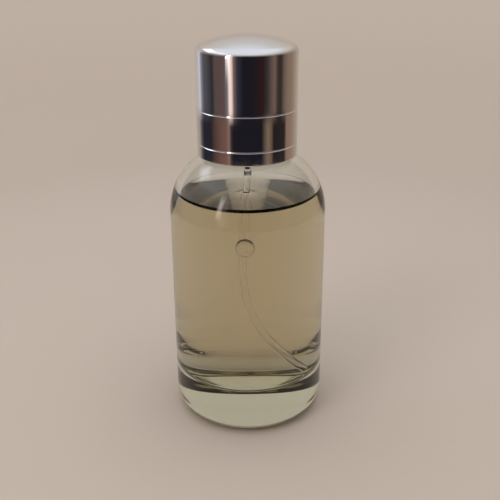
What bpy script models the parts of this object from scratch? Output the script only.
"""Aftershave spray bottle: a heavy-based glass bottle, a crimped fine-mist pump and a pull-off metal cap.

Everything stands on z = 0 with the bottle's axis on the Z axis and the spray hole facing -Y.
Each height is worked out upwards from the glass: bottle, neck, pump, actuator, cap.
"""

import math

import bmesh
import bpy
from mathutils import Matrix, Vector

MM = 0.001

# Fits
CLEARANCE = 0.3 * MM  # between pieces that touch, slide or turn on each other
TUBE_FIT = 0.12 * MM  # between the dip tube's bore and the nipple that it is pushed onto

# Glass bottle
BODY_RADIUS = 25.0 * MM
SIDE_WALL = 2.5 * MM
BASE_THICKNESS = 14.7 * MM
HEEL_RADIUS = 6.3 * MM
SIDE_HEIGHT = 70.5 * MM  # from the table to where the shoulder begins
SHOULDER_RADIUS = 21.0 * MM
FLOOR_CORNER = 4.0 * MM  # inside corner between floor and side wall
STANDING_WIDTH = 2.2 * MM  # width of the flat ring that the bottle stands on
PUNT_DEPTH = 0.9 * MM  # how far the underside is pushed up inside that ring
NECK_RADIUS = 6.35 * MM
NECK_BORE = 5.0 * MM
NECK_LENGTH = 9.9 * MM
NECK_FILLET = 1.0 * MM
BEAD_RADIUS = 7.5 * MM  # the bead that the ferrule is crimped under
BEAD_HEIGHT = 3.7 * MM
FILL_HEIGHT = 77.5 * MM  # liquid level above the table
LENS_RADIUS = 2.8 * MM  # the small round boss on the front of the glass
LENS_RISE = 0.75 * MM
LENS_HEIGHT = 66.9 * MM
LENS_OFFSET = -0.8 * MM

# Dip tube
TUBE_RADIUS = 1.2 * MM
TUBE_WALL = 0.25 * MM
TUBE_STRAIGHT = 4.0 * MM  # how far the tube hangs straight below the nipple
TUBE_TIP_GAP = 0.9 * MM  # between the tube's lower end and the floor
TUBE_CURL = (  # shares of the tip's reach to the right and to the back, and of the drop from the nipple
    (-0.05, -0.02, 0.81),
    (-0.065, -0.05, 0.64),
    (-0.045, -0.11, 0.44),
    (0.055, -0.18, 0.32),
    (0.24, -0.26, 0.21),
    (0.62, -0.39, 0.085),
)
TUBE_TIP_TURN = -28.0  # direction of the tip round the axis, in degrees from +X

# Pump, measured along the axis
GASKET_THICKNESS = 0.9 * MM
GASKET_WIDTH = 1.9 * MM
FLANGE_RADIUS = 6.6 * MM
FLANGE_THICKNESS = 1.0 * MM
BARREL_BORE = 3.2 * MM
BARREL_WALL = 0.9 * MM
SLEEVE_LENGTH = 1.4 * MM  # how far the turret reaches down into the barrel
SEAL_THICKNESS = 0.8 * MM
STEM_RADIUS = 1.6 * MM
STEM_BORE = 0.8 * MM
STEM_COLLAR_THICKNESS = 0.8 * MM
DOSING_SPRING_LENGTH = 2.2 * MM
DOSING_SPRING_WIRE = 0.35 * MM
DOSING_SPRING_TURNS = 3
PISTON_LENGTH = 2.4 * MM
PIN_RADIUS = 1.0 * MM  # the stem's lower end, inside the piston
RETURN_SPRING_LENGTH = 6.0 * MM
RETURN_SPRING_WIRE = 0.45 * MM
RETURN_SPRING_TURNS = 4
BALL_RADIUS = 0.75 * MM
BALL_LIFT = 0.4 * MM  # free height of the ball above its seat
CAGE_LIP = 0.4 * MM  # the lip that keeps the ball in its cage
INLET_BORE = 0.45 * MM
NIPPLE_LENGTH = 1.8 * MM
TURRET_DISC = 0.9 * MM
TURRET_RADIUS = 3.9 * MM
TURRET_HEIGHT = 2.7 * MM  # of the chimney above its disc
FERRULE_WALL = 0.4 * MM
STROKE = 4.0 * MM

# Actuator and collar
ACTUATOR_RADIUS = 6.3 * MM
ACTUATOR_SHELL = 0.35 * MM
ACTUATOR_HEAD = 5.7 * MM  # from the stem socket's mouth to the finger pad
SOCKET_DEPTH = 3.0 * MM
PAD_DISH = 0.5 * MM  # how far the finger pad dips in the middle
NOZZLE_RADIUS = 1.5 * MM
NOZZLE_LENGTH = 2.6 * MM
NOZZLE_DROP = 2.7 * MM  # of the spray hole below the finger pad's rim
ORIFICE_RADIUS = 0.2 * MM
CHANNEL_RADIUS = 0.5 * MM
COLLAR_WALL = 1.2 * MM
COLLAR_STANDOFF = 0.5 * MM  # above the glass shoulder
COLLAR_RIM = 0.7 * MM  # how far the collar rises past the actuator's lower edge

# Cap
CAP_RADIUS = 15.7 * MM
CAP_WALL = 1.1 * MM
CAP_STANDOFF = 1.5 * MM  # above the glass shoulder
CAP_HEADROOM = 1.2 * MM  # between the finger pad's rim and the liner's top
CAP_EDGE_RADIUS = 2.6 * MM
CAP_DOME_RADIUS = 39.0 * MM
CAP_BAND_LOW = 3.5 * MM  # height of the lower groove above the cap's mouth
CAP_BAND_HIGH = 14.1 * MM
GROOVE_WIDTH = 0.7 * MM
GROOVE_DEPTH = 0.35 * MM
LINER_WALL = 1.0 * MM
LINER_RECESS = 2.6 * MM  # of the liner's lower edge inside the cap's mouth
LINER_RIBS = 8
WEIGHT_RADIUS = 9.0 * MM

# Facets round a turned piece
WIDE_STEPS = 40
NARROW_STEPS = 24
SMALL_STEPS = 16


def arc(centre, radius, start, end, count):
    """Points (r, z) along a circle's arc, from the start angle to the end angle in degrees."""
    turns = [math.radians(start + (end - start) * i / count) for i in range(count + 1)]
    return [(centre[0] + radius * math.cos(t), centre[1] + radius * math.sin(t)) for t in turns]


def shoulder_height(radius, offset=0.0):
    """Height of the glass shoulder at a distance from the axis, or of a surface offset inside it."""
    reach = radius - (BODY_RADIUS - SHOULDER_RADIUS)
    return SIDE_HEIGHT + math.sqrt((SHOULDER_RADIUS - offset) ** 2 - reach**2)


# ---- Heights of the stack, from the glass upwards and from the neck down into the bottle

NECK_TOP = shoulder_height(NECK_RADIUS) + NECK_LENGTH
BEAD_BOTTOM = NECK_TOP - BEAD_HEIGHT
GASKET_BOTTOM = NECK_TOP + CLEARANCE
FLANGE_BOTTOM = GASKET_BOTTOM + GASKET_THICKNESS + CLEARANCE
FLANGE_TOP = FLANGE_BOTTOM + FLANGE_THICKNESS
TURRET_BOTTOM = FLANGE_TOP + CLEARANCE
TURRET_STEP = TURRET_BOTTOM + TURRET_DISC
TURRET_TOP = TURRET_STEP + TURRET_HEIGHT
FERRULE_STEP = TURRET_STEP + CLEARANCE + FERRULE_WALL
FERRULE_TOP = TURRET_TOP + CLEARANCE + FERRULE_WALL
ACTUATOR_BOTTOM = FERRULE_STEP + CLEARANCE + STROKE
SOCKET_MOUTH = FERRULE_TOP + CLEARANCE + STROKE
ACTUATOR_TOP = SOCKET_MOUTH + ACTUATOR_HEAD
NOZZLE_HEIGHT = ACTUATOR_TOP - NOZZLE_DROP
COLLAR_TOP = ACTUATOR_BOTTOM + COLLAR_RIM

SLEEVE_BOTTOM = FLANGE_TOP - SLEEVE_LENGTH
SEAL_TOP = SLEEVE_BOTTOM - CLEARANCE
STEM_COLLAR_TOP = SEAL_TOP - SEAL_THICKNESS - CLEARANCE
STEM_COLLAR_BOTTOM = STEM_COLLAR_TOP - STEM_COLLAR_THICKNESS
DOSING_SPRING_TOP = STEM_COLLAR_BOTTOM - CLEARANCE
PISTON_TOP = DOSING_SPRING_TOP - DOSING_SPRING_LENGTH - CLEARANCE
PISTON_BOTTOM = PISTON_TOP - PISTON_LENGTH
RETURN_SPRING_TOP = PISTON_BOTTOM - CLEARANCE
SPRING_SEAT = RETURN_SPRING_TOP - RETURN_SPRING_LENGTH - CLEARANCE
CAGE_TOP = SPRING_SEAT - CAGE_LIP
BALL_REST = CAGE_TOP - CLEARANCE / 2 - BALL_LIFT - BALL_RADIUS  # height of the ball's centre on its seat
BALL_SEAT = BALL_REST + INLET_BORE - math.sqrt(2.0) * (BALL_RADIUS + CLEARANCE / 2)
CAGE_BOTTOM = BALL_SEAT - CLEARANCE
NIPPLE_TIP = CAGE_BOTTOM - NIPPLE_LENGTH

CAP_BOTTOM = shoulder_height(CAP_RADIUS) + CAP_STANDOFF
CAP_EDGE = ACTUATOR_TOP + CAP_HEADROOM + LINER_WALL
DOME_CENTRE = CAP_EDGE - math.sqrt((CAP_DOME_RADIUS - CAP_EDGE_RADIUS) ** 2 - (CAP_RADIUS - CAP_EDGE_RADIUS) ** 2)
COLLAR_BORE = BEAD_RADIUS + CLEARANCE + FERRULE_WALL + CLEARANCE
COLLAR_RADIUS = COLLAR_BORE + COLLAR_WALL
LINER_BORE = COLLAR_RADIUS + CLEARANCE
LINER_RADIUS = CAP_RADIUS - CAP_WALL - CLEARANCE


# ---- Scene, materials and modelling helpers


def clear_scene():
    for obj in list(bpy.data.objects):
        bpy.data.objects.remove(obj, do_unlink=True)


def new_collection(name):
    collection = bpy.data.collections.new(name)
    bpy.context.scene.collection.children.link(collection)
    return collection


def material(name, colour, roughness, metallic=0.0, transmission=0.0, ior=1.5):
    found = bpy.data.materials.new(name)
    found.use_nodes = True
    shader = found.node_tree.nodes["Principled BSDF"]
    shader.inputs["Base Color"].default_value = (*colour, 1.0)
    shader.inputs["Roughness"].default_value = roughness
    shader.inputs["Metallic"].default_value = metallic
    shader.inputs["Transmission Weight"].default_value = transmission
    shader.inputs["IOR"].default_value = ior
    return found


def place(name, data, finish, seat=0.0):
    """Adds an object on the bottle's axis with its origin at the given height."""
    obj = bpy.data.objects.new(name, data)
    obj.location.z = seat
    if finish is not None:
        data.materials.append(finish)
    PARTS.objects.link(obj)
    return obj


def turned(name, outline, finish, steps, seat=0.0, closed=True):
    """A turned piece: the outline (r, z), clockwise seen with +X right, swept round the Z axis.

    An outline whose two ends lie on the axis is left open there, and the sweep closes it.
    """
    points = [(r, 0.0, z - seat) for r, z in outline]
    edges = [(i, i + 1) for i in range(len(points) - 1)]
    if closed:
        edges.append((len(points) - 1, 0))
    mesh = bpy.data.meshes.new(name)
    mesh.from_pydata(points, edges, [])
    obj = place(name, mesh, finish, seat)
    screw = obj.modifiers.new("Turn", "SCREW")
    screw.axis = "Z"
    screw.angle = math.tau
    screw.steps = steps
    screw.render_steps = steps
    screw.use_merge_vertices = True
    screw.merge_threshold = 0.000001
    screw.use_smooth_shade = True
    return obj


def as_tool(obj):
    """Makes an object a helper that cuts or joins others and isn't part of the bottle itself."""
    PARTS.objects.unlink(obj)
    CUTTERS.objects.link(obj)
    obj.hide_render = True
    obj.display_type = "WIRE"
    return obj


def combine(obj, tool, operation):
    boolean = obj.modifiers.new(f"{operation.title()} {tool.name}", "BOOLEAN")
    boolean.operation = operation
    boolean.solver = "EXACT"
    boolean.object = tool


def tool_cylinder(name, radius, low, high, steps):
    """A cylinder on the Z axis between two heights, as a cutting tool."""
    outline = [(0.0, high), (radius, high), (radius, low), (0.0, low)]
    return as_tool(turned(name, outline, None, steps, closed=False))


def along_front(obj, height):
    """Turns a tool or piece made on the Z axis so that its top points to the front, at a height."""
    obj.rotation_euler = (math.radians(90.0), 0.0, 0.0)
    obj.location = (0.0, 0.0, height)


def coil(name, finish, mean_radius, wire, low, high, turns):
    """A compression spring between two heights, as a round wire on a helix."""
    per_turn = 10
    count = turns * per_turn + 1
    first = low + wire / 2
    climb = high - low - wire
    curve = bpy.data.curves.new(name, "CURVE")
    curve.dimensions = "3D"
    curve.bevel_depth = wire / 2
    curve.bevel_resolution = 2
    curve.use_fill_caps = True
    spline = curve.splines.new("POLY")
    spline.points.add(count - 1)
    for i, point in enumerate(spline.points):
        angle = math.tau * i / per_turn
        height = climb * i / (count - 1)
        point.co = (mean_radius * math.cos(angle), mean_radius * math.sin(angle), height, 1.0)
    return place(name, curve, finish, first)


# ---- Glass bottle and what it holds


def bottle_inside(offset):
    """The bottle's inside, from the floor's centre up to the shoulder's top, drawn in by an offset."""
    radius = BODY_RADIUS - SIDE_WALL - offset
    floor = BASE_THICKNESS + offset
    corner = FLOOR_CORNER - offset
    inner_arc = SHOULDER_RADIUS - SIDE_WALL - offset
    centre = BODY_RADIUS - SHOULDER_RADIUS
    points = [(0.0, floor)]
    points += arc((radius - corner, floor + corner), corner, -90.0, 0.0, 4)
    return points, (centre, SIDE_HEIGHT), inner_arc


def neck_outside():
    """The neck's outside from its top land down to the shoulder: land, bead, undercut, neck, fillet."""
    edge = 0.6 * MM
    undercut = BEAD_RADIUS - NECK_RADIUS
    reach = NECK_RADIUS + NECK_FILLET
    root = shoulder_height(reach) + NECK_FILLET
    points = [(BEAD_RADIUS - edge, NECK_TOP)]
    points += arc((BEAD_RADIUS - edge, NECK_TOP - edge), edge, 60.0, 0.0, 2)
    points += [(BEAD_RADIUS, BEAD_BOTTOM + undercut), (NECK_RADIUS, BEAD_BOTTOM)]
    points += arc((reach, root), NECK_FILLET, 180.0, 255.0, 3)
    return points


def glass_bottle(finish):
    points, centre, inner_arc = bottle_inside(0.0)
    mouth = math.degrees(math.acos((NECK_BORE + NECK_FILLET - centre[0]) / inner_arc))
    points += arc(centre, inner_arc, 0.0, mouth, 6)
    bore_start = points[-1][1] + NECK_FILLET
    points += [(NECK_BORE, bore_start), (NECK_BORE, NECK_TOP)]
    points += neck_outside()
    foot = math.degrees(math.acos((NECK_RADIUS + 2 * NECK_FILLET - centre[0]) / SHOULDER_RADIUS))
    points += arc(centre, SHOULDER_RADIUS, foot, 0.0, 10)
    points += arc((BODY_RADIUS - HEEL_RADIUS, HEEL_RADIUS), HEEL_RADIUS, 0.0, -90.0, 6)
    inner_ring = BODY_RADIUS - HEEL_RADIUS - STANDING_WIDTH
    points += [(inner_ring, 0.0), (inner_ring - 2 * PUNT_DEPTH, PUNT_DEPTH), (0.0, PUNT_DEPTH)]
    bottle = turned("glass_bottle", points, finish, WIDE_STEPS, closed=False)
    combine(bottle, front_lens(), "UNION")
    return bottle


def front_lens():
    """A low round boss on the front of the glass, like a drop: the outer part of a sphere."""
    sphere = (LENS_RADIUS**2 + LENS_RISE**2) / (2 * LENS_RISE)
    mesh = bpy.data.meshes.new("front_lens")
    shape = bmesh.new()
    bmesh.ops.create_uvsphere(shape, u_segments=24, v_segments=32, radius=sphere)
    # Its poles lie along Y, so that its rings run round the boss.
    bmesh.ops.rotate(shape, verts=shape.verts, matrix=Matrix.Rotation(math.radians(90.0), 3, "X"))
    low = -(sphere - LENS_RISE - SIDE_WALL / 2)
    inner = bmesh.ops.bisect_plane(
        shape,
        geom=shape.verts[:] + shape.edges[:] + shape.faces[:],
        plane_co=(0.0, low, 0.0),
        plane_no=(0.0, 1.0, 0.0),
        clear_outer=True,
    )
    rim = [item for item in inner["geom_cut"] if isinstance(item, bmesh.types.BMEdge)]
    bmesh.ops.contextual_create(shape, geom=rim)
    bmesh.ops.recalc_face_normals(shape, faces=shape.faces)
    shape.to_mesh(mesh)
    shape.free()
    lens = place("front_lens", mesh, None)
    front = math.sqrt(BODY_RADIUS**2 - LENS_OFFSET**2)
    lens.location = (LENS_OFFSET, sphere - LENS_RISE - front, LENS_HEIGHT)
    return as_tool(lens)


def tube_route():
    """The dip tube's centre line: down from the nipple, then curling into the floor's front corner."""
    drop = NIPPLE_TIP - BASE_THICKNESS
    reach = BODY_RADIUS - SIDE_WALL - FLOOR_CORNER
    turn = math.radians(TUBE_TIP_TURN)
    tip = Vector((reach * math.cos(turn), reach * math.sin(turn), BASE_THICKNESS + TUBE_RADIUS + TUBE_TIP_GAP))
    route = [Vector((0.0, 0.0, z)) for z in (CAGE_BOTTOM - CLEARANCE, NIPPLE_TIP, NIPPLE_TIP - TUBE_STRAIGHT)]
    route += [Vector((x * reach, y * reach, BASE_THICKNESS + z * drop)) for x, y, z in TUBE_CURL]
    return [*route, tip]


def smooth_line(points, per_span):
    """Points on a smooth curve through the given points (a Catmull-Rom curve), with even spans."""
    ends = [2 * points[0] - points[1], *points, 2 * points[-1] - points[-2]]
    line = []
    for a, b, c, d in zip(ends, ends[1:], ends[2:], ends[3:]):
        for i in range(per_span):
            t = i / per_span
            line.append(
                0.5 * (2 * b + (c - a) * t + (2 * a - 5 * b + 4 * c - d) * t**2 + (3 * b - a - 3 * c + d) * t**3)
            )
    return [*line, points[-1]]


def tube_curve(name, radius, line):
    curve = bpy.data.curves.new(name, "CURVE")
    curve.dimensions = "3D"
    curve.bevel_depth = radius
    curve.bevel_resolution = 3
    spline = curve.splines.new("POLY")
    spline.points.add(len(line) - 1)
    for point, co in zip(spline.points, line):
        point.co = (*co, 1.0)
    return curve


def dip_tube(finish):
    curve = tube_curve("dip_tube", TUBE_RADIUS, smooth_line(tube_route(), 3))
    tube = place("dip_tube", curve, finish)
    wall = tube.modifiers.new("Wall", "SOLIDIFY")
    wall.thickness = TUBE_WALL
    wall.offset = -1.0
    return tube


def tube_hole():
    """A mesh a clearance wider than the dip tube all round, to cut its way through the liquid."""
    line = smooth_line(tube_route(), 3)
    tip = (line[-1] - line[-2]).normalized() * CLEARANCE
    curve = tube_curve("tube_hole", TUBE_RADIUS + CLEARANCE, [*line, line[-1] + tip])
    curve.use_fill_caps = True
    draft = bpy.data.objects.new("tube_hole_curve", curve)
    CUTTERS.objects.link(draft)
    graph = bpy.context.evaluated_depsgraph_get()
    mesh = bpy.data.meshes.new_from_object(draft.evaluated_get(graph))
    bpy.data.objects.remove(draft, do_unlink=True)
    shape = bmesh.new()
    shape.from_mesh(mesh)
    bmesh.ops.remove_doubles(shape, verts=shape.verts, dist=0.001 * MM)
    bmesh.ops.recalc_face_normals(shape, faces=shape.faces)
    shape.to_mesh(mesh)
    shape.free()
    return as_tool(place("tube_hole", mesh, None))


def fragrance_liquid(finish):
    """The liquid, a clearance inside the glass, up to its level in the shoulder."""
    points, centre, inner_arc = bottle_inside(CLEARANCE)
    level = math.degrees(math.asin((FILL_HEIGHT - SIDE_HEIGHT) / inner_arc))
    points += arc(centre, inner_arc, 0.0, level, 3)
    points += [(0.0, FILL_HEIGHT)]
    liquid = turned("fragrance_liquid", points[::-1], finish, WIDE_STEPS, closed=False)
    combine(liquid, tube_hole(), "DIFFERENCE")
    return liquid


# ---- Pump


def ring(name, finish, inner, outer, low, high, steps):
    """A flat ring or tube between two radii and two heights."""
    outline = [(inner, high), (outer, high), (outer, low), (inner, low)]
    return turned(name, outline, finish, steps, seat=low)


def pump_housing(finish):
    """Flange, barrel with the spring seat, ball cage and the nipple for the dip tube."""
    barrel = BARREL_BORE + BARREL_WALL
    cage_bore = BALL_RADIUS + CLEARANCE
    cage = cage_bore + BARREL_WALL
    nipple = TUBE_RADIUS - TUBE_WALL - TUBE_FIT
    lip_bore = BALL_RADIUS - CLEARANCE / 2
    outline = [
        (BARREL_BORE, FLANGE_TOP),
        (FLANGE_RADIUS, FLANGE_TOP),
        (FLANGE_RADIUS, FLANGE_BOTTOM),
        (barrel, FLANGE_BOTTOM),
        (barrel, SPRING_SEAT - BARREL_WALL / 2),
        (cage, SPRING_SEAT - BARREL_WALL / 2 - (barrel - cage)),
        (cage, CAGE_BOTTOM),
        (nipple, CAGE_BOTTOM),
        *arc((nipple / 2, NIPPLE_TIP + nipple / 2), nipple / 2, 0.0, -90.0, 3),
        (INLET_BORE / 2, NIPPLE_TIP),
        (INLET_BORE, NIPPLE_TIP + INLET_BORE / 2),
        (INLET_BORE, BALL_SEAT),
        (cage_bore, BALL_SEAT + cage_bore - INLET_BORE),
        (cage_bore, CAGE_TOP),
        (lip_bore, CAGE_TOP),
        (lip_bore, SPRING_SEAT),
        (BARREL_BORE, SPRING_SEAT),
    ]
    return turned("pump_housing", outline, finish, NARROW_STEPS, seat=FLANGE_BOTTOM)


def inlet_ball(finish):
    """The steel ball that closes the inlet, at rest on its 45 degree seat."""
    mesh = bpy.data.meshes.new("inlet_ball")
    shape = bmesh.new()
    bmesh.ops.create_uvsphere(shape, u_segments=14, v_segments=10, radius=BALL_RADIUS)
    shape.to_mesh(mesh)
    shape.free()
    mesh.shade_smooth()
    return place("inlet_ball", mesh, finish, BALL_REST)


def piston(finish):
    """A plastic piston with a sealing lip at each end, on the stem's pin."""
    lip = BARREL_BORE - CLEARANCE
    waist = lip - 0.5 * MM
    bore = PIN_RADIUS + CLEARANCE
    cup = 0.6 * MM
    outline = [
        (bore, PISTON_TOP - cup),
        (lip - cup, PISTON_TOP),
        (lip, PISTON_TOP),
        (waist, PISTON_TOP - cup),
        (waist, PISTON_BOTTOM + cup),
        (lip, PISTON_BOTTOM),
        (bore, PISTON_BOTTOM),
    ]
    return turned("piston", outline, finish, NARROW_STEPS, seat=PISTON_BOTTOM)


def stem(finish):
    """A hollow rod up to the actuator, with a collar under the seal and a pin through the piston."""
    collar = BARREL_BORE - 2 * CLEARANCE
    knob = PIN_RADIUS + 0.35 * MM
    knob_top = PISTON_BOTTOM - CLEARANCE
    knob_bottom = knob_top - STEM_COLLAR_THICKNESS
    outline = [
        (0.0, STEM_COLLAR_TOP),
        (STEM_BORE, STEM_COLLAR_TOP),
        (STEM_BORE, SOCKET_MOUTH + SOCKET_DEPTH - CLEARANCE),
        (STEM_RADIUS, SOCKET_MOUTH + SOCKET_DEPTH - CLEARANCE),
        (STEM_RADIUS, STEM_COLLAR_TOP),
        (collar, STEM_COLLAR_TOP),
        (collar, STEM_COLLAR_BOTTOM),
        (PIN_RADIUS, STEM_COLLAR_BOTTOM),
        (PIN_RADIUS, knob_top),
        (knob, knob_top),
        (PIN_RADIUS, knob_bottom),
        (0.0, knob_bottom),
    ]
    return turned("stem", outline, finish, SMALL_STEPS, seat=STEM_COLLAR_BOTTOM, closed=False)


def pump_turret(finish):
    """The plug that closes the barrel: a disc on the flange, a sleeve below and a chimney above."""
    bore = STEM_RADIUS + CLEARANCE
    sleeve = BARREL_BORE - CLEARANCE
    outline = [
        (bore, TURRET_TOP),
        (TURRET_RADIUS, TURRET_TOP),
        (TURRET_RADIUS, TURRET_STEP),
        (FLANGE_RADIUS, TURRET_STEP),
        (FLANGE_RADIUS, TURRET_BOTTOM),
        (sleeve, TURRET_BOTTOM),
        (sleeve, SLEEVE_BOTTOM),
        (bore, SLEEVE_BOTTOM),
    ]
    return turned("pump_turret", outline, finish, NARROW_STEPS, seat=TURRET_BOTTOM)


def crimp_ferrule(finish):
    """A thin metal cup over the neck: a raised dome, a step, a skirt and a hem crimped under the bead."""
    inner = BEAD_RADIUS + CLEARANCE
    outer = inner + FERRULE_WALL
    dome = TURRET_RADIUS + CLEARANCE
    hole = STEM_RADIUS + 2 * CLEARANCE
    hem = NECK_RADIUS + CLEARANCE
    undercut = BEAD_RADIUS - NECK_RADIUS
    slant = FERRULE_WALL * math.sqrt(2.0)
    outline = [
        (hole, FERRULE_TOP),
        (dome, FERRULE_TOP),
        (dome + FERRULE_WALL, FERRULE_TOP - FERRULE_WALL),
        (dome + FERRULE_WALL, FERRULE_STEP),
        (outer - FERRULE_WALL, FERRULE_STEP),
        (outer, FERRULE_STEP - FERRULE_WALL),
        (outer, BEAD_BOTTOM + undercut + FERRULE_WALL - slant - CLEARANCE),
        (hem, BEAD_BOTTOM - slant - CLEARANCE),
        (hem, BEAD_BOTTOM - CLEARANCE),
        (inner, BEAD_BOTTOM + undercut - CLEARANCE),
        (inner, FERRULE_STEP - FERRULE_WALL),
        (dome, FERRULE_STEP - FERRULE_WALL),
        (dome, FERRULE_TOP - FERRULE_WALL),
        (hole, FERRULE_TOP - FERRULE_WALL),
    ]
    return turned("crimp_ferrule", outline, finish, NARROW_STEPS + 8, seat=FERRULE_STEP)


def collar(finish):
    """The bright ring round the pump: a wall over the ferrule and a top with the actuator's opening."""
    mouth = ACTUATOR_RADIUS + CLEARANCE
    bottom = shoulder_height(COLLAR_BORE) + COLLAR_STANDOFF
    top = COLLAR_TOP - COLLAR_WALL
    bevel = 0.5 * MM
    outline = [
        (mouth, COLLAR_TOP),
        (COLLAR_RADIUS - bevel, COLLAR_TOP),
        (COLLAR_RADIUS, COLLAR_TOP - bevel),
        (COLLAR_RADIUS, bottom),
        (COLLAR_BORE, bottom),
        (COLLAR_BORE, top),
        (mouth, top),
    ]
    return turned("collar", outline, finish, NARROW_STEPS + 8, seat=bottom)


# ---- Actuator


def actuator_core(finish):
    """The moulded core: a stem socket, a flow channel and a bore for the nozzle."""
    radius = ACTUATOR_RADIUS - ACTUATOR_SHELL - CLEARANCE
    skirt = TURRET_RADIUS + CLEARANCE + FERRULE_WALL + CLEARANCE
    socket = STEM_RADIUS + CLEARANCE
    top = ACTUATOR_TOP - ACTUATOR_SHELL - CLEARANCE
    outline = [
        (0.0, top - PAD_DISH),
        (radius * 0.6, top - PAD_DISH * 0.6),
        (radius, top),
        (radius, ACTUATOR_BOTTOM),
        (skirt, ACTUATOR_BOTTOM),
        (skirt, SOCKET_MOUTH),
        (socket, SOCKET_MOUTH),
        (socket, SOCKET_MOUTH + SOCKET_DEPTH),
        (0.0, SOCKET_MOUTH + SOCKET_DEPTH),
    ]
    core = turned("actuator_core", outline, finish, NARROW_STEPS + 8, seat=ACTUATOR_BOTTOM, closed=False)
    combine(core, nozzle_bore(radius), "DIFFERENCE")
    combine(core, flow_channel(), "DIFFERENCE")
    return core


def nozzle_bore(core_radius):
    """The nozzle's bore from the front, with a narrow channel on to the axis behind it."""
    bore = NOZZLE_RADIUS + CLEARANCE
    back = ACTUATOR_RADIUS - NOZZLE_LENGTH - 2 * CLEARANCE
    outline = [
        (0.0, core_radius + 1.0 * MM),
        (bore, core_radius + 1.0 * MM),
        (bore, back),
        (CHANNEL_RADIUS, back),
        (CHANNEL_RADIUS, 0.0),
        (0.0, 0.0),
    ]
    tool = as_tool(turned("nozzle_bore", outline, None, SMALL_STEPS, closed=False))
    along_front(tool, NOZZLE_HEIGHT)
    return tool


def flow_channel():
    """The upright channel from the stem socket to the nozzle's channel."""
    low = SOCKET_MOUTH + SOCKET_DEPTH - CLEARANCE
    high = NOZZLE_HEIGHT + CHANNEL_RADIUS
    return tool_cylinder("flow_channel", 1.1 * CHANNEL_RADIUS, low, high, SMALL_STEPS - 4)


def actuator_shell(finish):
    """The thin metal cover of the actuator, dished for the finger, with a hole for the nozzle."""
    inner = ACTUATOR_RADIUS - ACTUATOR_SHELL
    under = ACTUATOR_TOP - ACTUATOR_SHELL
    bevel = ACTUATOR_SHELL
    outline = [
        (0.0, ACTUATOR_TOP - PAD_DISH),
        (inner * 0.6, ACTUATOR_TOP - PAD_DISH * 0.6),
        (ACTUATOR_RADIUS - bevel, ACTUATOR_TOP),
        (ACTUATOR_RADIUS, ACTUATOR_TOP - bevel),
        (ACTUATOR_RADIUS, ACTUATOR_BOTTOM),
        (inner, ACTUATOR_BOTTOM),
        (inner, under),
        (inner * 0.6, under - PAD_DISH * 0.6),
        (0.0, under - PAD_DISH),
    ]
    shell = turned("actuator_shell", outline, finish, NARROW_STEPS + 8, seat=ACTUATOR_BOTTOM, closed=False)
    hole = tool_cylinder("nozzle_window", NOZZLE_RADIUS + CLEARANCE, inner - 1.0 * MM, inner + 2.0 * MM, SMALL_STEPS)
    along_front(hole, NOZZLE_HEIGHT)
    combine(shell, hole, "DIFFERENCE")
    return shell


def nozzle_insert(finish):
    """The spray nozzle: a cup with a swirl chamber behind, a dimple in front and the spray hole between."""
    front = ACTUATOR_RADIUS - CLEARANCE
    back = front - NOZZLE_LENGTH
    web = 0.5 * MM
    dimple = 0.4 * MM
    chamber = NOZZLE_RADIUS - 0.5 * MM
    outline = [
        (ORIFICE_RADIUS, front - dimple),
        (ORIFICE_RADIUS + 1.5 * dimple, front),
        (NOZZLE_RADIUS, front),
        (NOZZLE_RADIUS, back),
        (chamber, back),
        (chamber, front - dimple - web),
        (ORIFICE_RADIUS, front - dimple - web),
    ]
    nozzle = turned("nozzle_insert", outline, finish, SMALL_STEPS)
    along_front(nozzle, NOZZLE_HEIGHT)
    return nozzle


# ---- Cap


def dome_height(radius, offset=0.0):
    """Height of the cap's domed top at a distance from the axis, or of its underside with an offset."""
    return DOME_CENTRE + math.sqrt((CAP_DOME_RADIUS - offset) ** 2 - radius**2)


def cap_top(offset, count):
    """The cap's top from the axis to the straight side: a shallow dome running into a rounded edge."""
    edge_centre = CAP_RADIUS - CAP_EDGE_RADIUS
    tangent = math.degrees(math.atan2(CAP_EDGE - DOME_CENTRE, edge_centre))
    points = arc((0.0, DOME_CENTRE), CAP_DOME_RADIUS - offset, 90.0, tangent, count)
    points += arc((edge_centre, CAP_EDGE), CAP_EDGE_RADIUS - offset, tangent, 0.0, count)[1:]
    # The first point lies exactly on the axis, so that the sweep closes there.
    return [(0.0, points[0][1]), *points[1:]]


def groove(height):
    """A turned V groove, from its upper lip to its lower one."""
    half = GROOVE_WIDTH / 2
    return [
        (CAP_RADIUS, height + half),
        (CAP_RADIUS - GROOVE_DEPTH, height),
        (CAP_RADIUS, height - half),
    ]


def cap_shell(finish):
    """The metal cap: domed top, rounded edge, straight side with two V grooves, open below."""
    lip = 0.3 * MM
    outline = cap_top(0.0, 4)
    outline += groove(CAP_BOTTOM + CAP_BAND_HIGH)
    outline += groove(CAP_BOTTOM + CAP_BAND_LOW)
    outline += [
        (CAP_RADIUS, CAP_BOTTOM + lip),
        (CAP_RADIUS - lip, CAP_BOTTOM),
        (CAP_RADIUS - CAP_WALL, CAP_BOTTOM),
        *cap_top(CAP_WALL, 3)[::-1],
    ]
    return turned("cap_shell", outline, finish, WIDE_STEPS, seat=CAP_BOTTOM, closed=False)


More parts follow.
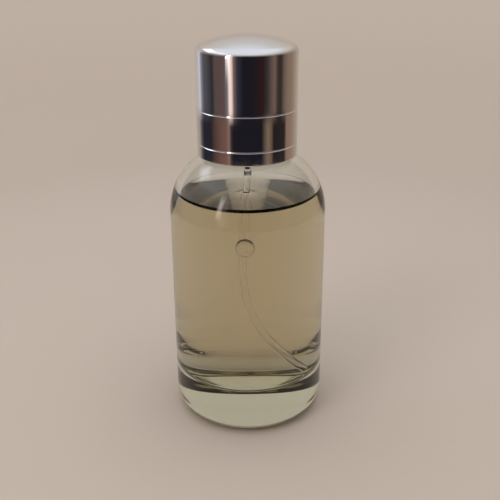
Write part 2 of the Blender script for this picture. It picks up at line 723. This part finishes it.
def cap_liner(finish):
    """The moulded lining: a sleeve that grips the collar, a top disc and ribs out to the metal."""
    bottom = CAP_BOTTOM + LINER_RECESS
    top = CAP_EDGE
    sleeve = LINER_BORE + LINER_WALL
    outline = [
        (0.0, top),
        (LINER_RADIUS, top),
        (LINER_RADIUS, top - LINER_WALL),
        (sleeve, top - LINER_WALL),
        (sleeve, bottom),
        (LINER_BORE, bottom),
        (LINER_BORE, top - LINER_WALL),
        (0.0, top - LINER_WALL),
    ]
    liner = turned("cap_liner", outline, finish, NARROW_STEPS + 8, seat=bottom, closed=False)
    for number in range(LINER_RIBS):
        combine(liner, liner_rib(number, bottom, top), "UNION")
    return liner


def liner_rib(number, bottom, top):
    """An upright rib from inside the sleeve's wall out to the liner's rim."""
    inner = LINER_BORE + LINER_WALL / 2
    size = (LINER_RADIUS - inner, LINER_WALL, top - LINER_WALL / 2 - bottom)
    mesh = bpy.data.meshes.new(f"liner_rib_{number + 1}")
    shape = bmesh.new()
    bmesh.ops.create_cube(shape, size=1.0)
    bmesh.ops.scale(shape, verts=shape.verts, vec=size)
    bmesh.ops.translate(shape, verts=shape.verts, vec=(inner + size[0] / 2 - CLEARANCE / 2, 0.0, size[2] / 2))
    shape.to_mesh(mesh)
    shape.free()
    rib = place(mesh.name, mesh, None, bottom)
    rib.rotation_euler.z = math.tau * (number + 0.5) / LINER_RIBS
    return as_tool(rib)


def cap_weight(finish):
    """A turned steel weight between the liner's top and the cap's dome."""
    bottom = CAP_EDGE + CLEARANCE
    top = dome_height(WEIGHT_RADIUS, CAP_WALL) - CLEARANCE
    outline = [(0.0, top), (WEIGHT_RADIUS, top), (WEIGHT_RADIUS, bottom), (0.0, bottom)]
    return turned("cap_weight", outline, finish, NARROW_STEPS, seat=bottom, closed=False)


# ---- Assembly


def hold(name, pieces):
    """Parents pieces that move together to an empty on the joint's axis, without moving them."""
    axis = bpy.data.objects.new(name, None)
    PARTS.objects.link(axis)
    for piece in pieces:
        piece.parent = axis
    return axis


def build():
    glass = material("soda_lime_glass", (0.90, 0.93, 0.90), 0.0, transmission=1.0, ior=1.52)
    liquid = material("fragrance", (0.66, 0.66, 0.42), 0.0, transmission=1.0, ior=1.36)
    clear_pe = material("clear_polyethylene", (0.82, 0.82, 0.78), 0.15, transmission=0.8, ior=1.51)
    dark_pp = material("dark_polypropylene", (0.02, 0.02, 0.022), 0.35)
    white_pom = material("white_acetal", (0.80, 0.80, 0.78), 0.4)
    rubber = material("sealing_rubber", (0.03, 0.03, 0.03), 0.7)
    steel = material("stainless_steel", (0.55, 0.55, 0.56), 0.2, metallic=1.0)
    aluminium = material("bright_aluminium", (0.80, 0.80, 0.82), 0.2, metallic=1.0)
    chrome = material("polished_chrome", (0.65, 0.65, 0.68), 0.03, metallic=1.0)

    glass_bottle(glass)
    fragrance_liquid(liquid)
    dip_tube(clear_pe)
    pump_housing(dark_pp)
    ball = inlet_ball(steel)
    spring_radius = BARREL_BORE - 3 * CLEARANCE
    coil("return_spring", steel, spring_radius, RETURN_SPRING_WIRE,
         SPRING_SEAT + CLEARANCE, RETURN_SPRING_TOP, RETURN_SPRING_TURNS)
    gasket_bore = BARREL_BORE + BARREL_WALL + CLEARANCE
    ring("neck_gasket", rubber, gasket_bore, gasket_bore + GASKET_WIDTH,
         GASKET_BOTTOM, GASKET_BOTTOM + GASKET_THICKNESS, NARROW_STEPS)
    ring("stem_seal", rubber, STEM_RADIUS + CLEARANCE, BARREL_BORE - CLEARANCE,
         SEAL_TOP - SEAL_THICKNESS, SEAL_TOP, NARROW_STEPS)
    pump_turret(white_pom)
    crimp_ferrule(aluminium)
    collar(aluminium)

    dosing_radius = PIN_RADIUS + 2 * CLEARANCE + DOSING_SPRING_WIRE / 2
    dosing = coil("dosing_spring", steel, dosing_radius, DOSING_SPRING_WIRE,
                  PISTON_TOP + CLEARANCE, DOSING_SPRING_TOP, DOSING_SPRING_TURNS)
    plunger = hold("plunger_axis", [stem(white_pom), piston(white_pom), dosing])
    head = hold("actuator_axis", [actuator_core(white_pom), actuator_shell(aluminium), nozzle_insert(white_pom)])
    head.parent = plunger
    hold("ball_axis", [ball])
    hold("cap_axis", [cap_shell(chrome), cap_liner(white_pom), cap_weight(steel)])


clear_scene()
PARTS = new_collection("aftershave_bottle")
CUTTERS = new_collection("cutters")
build()
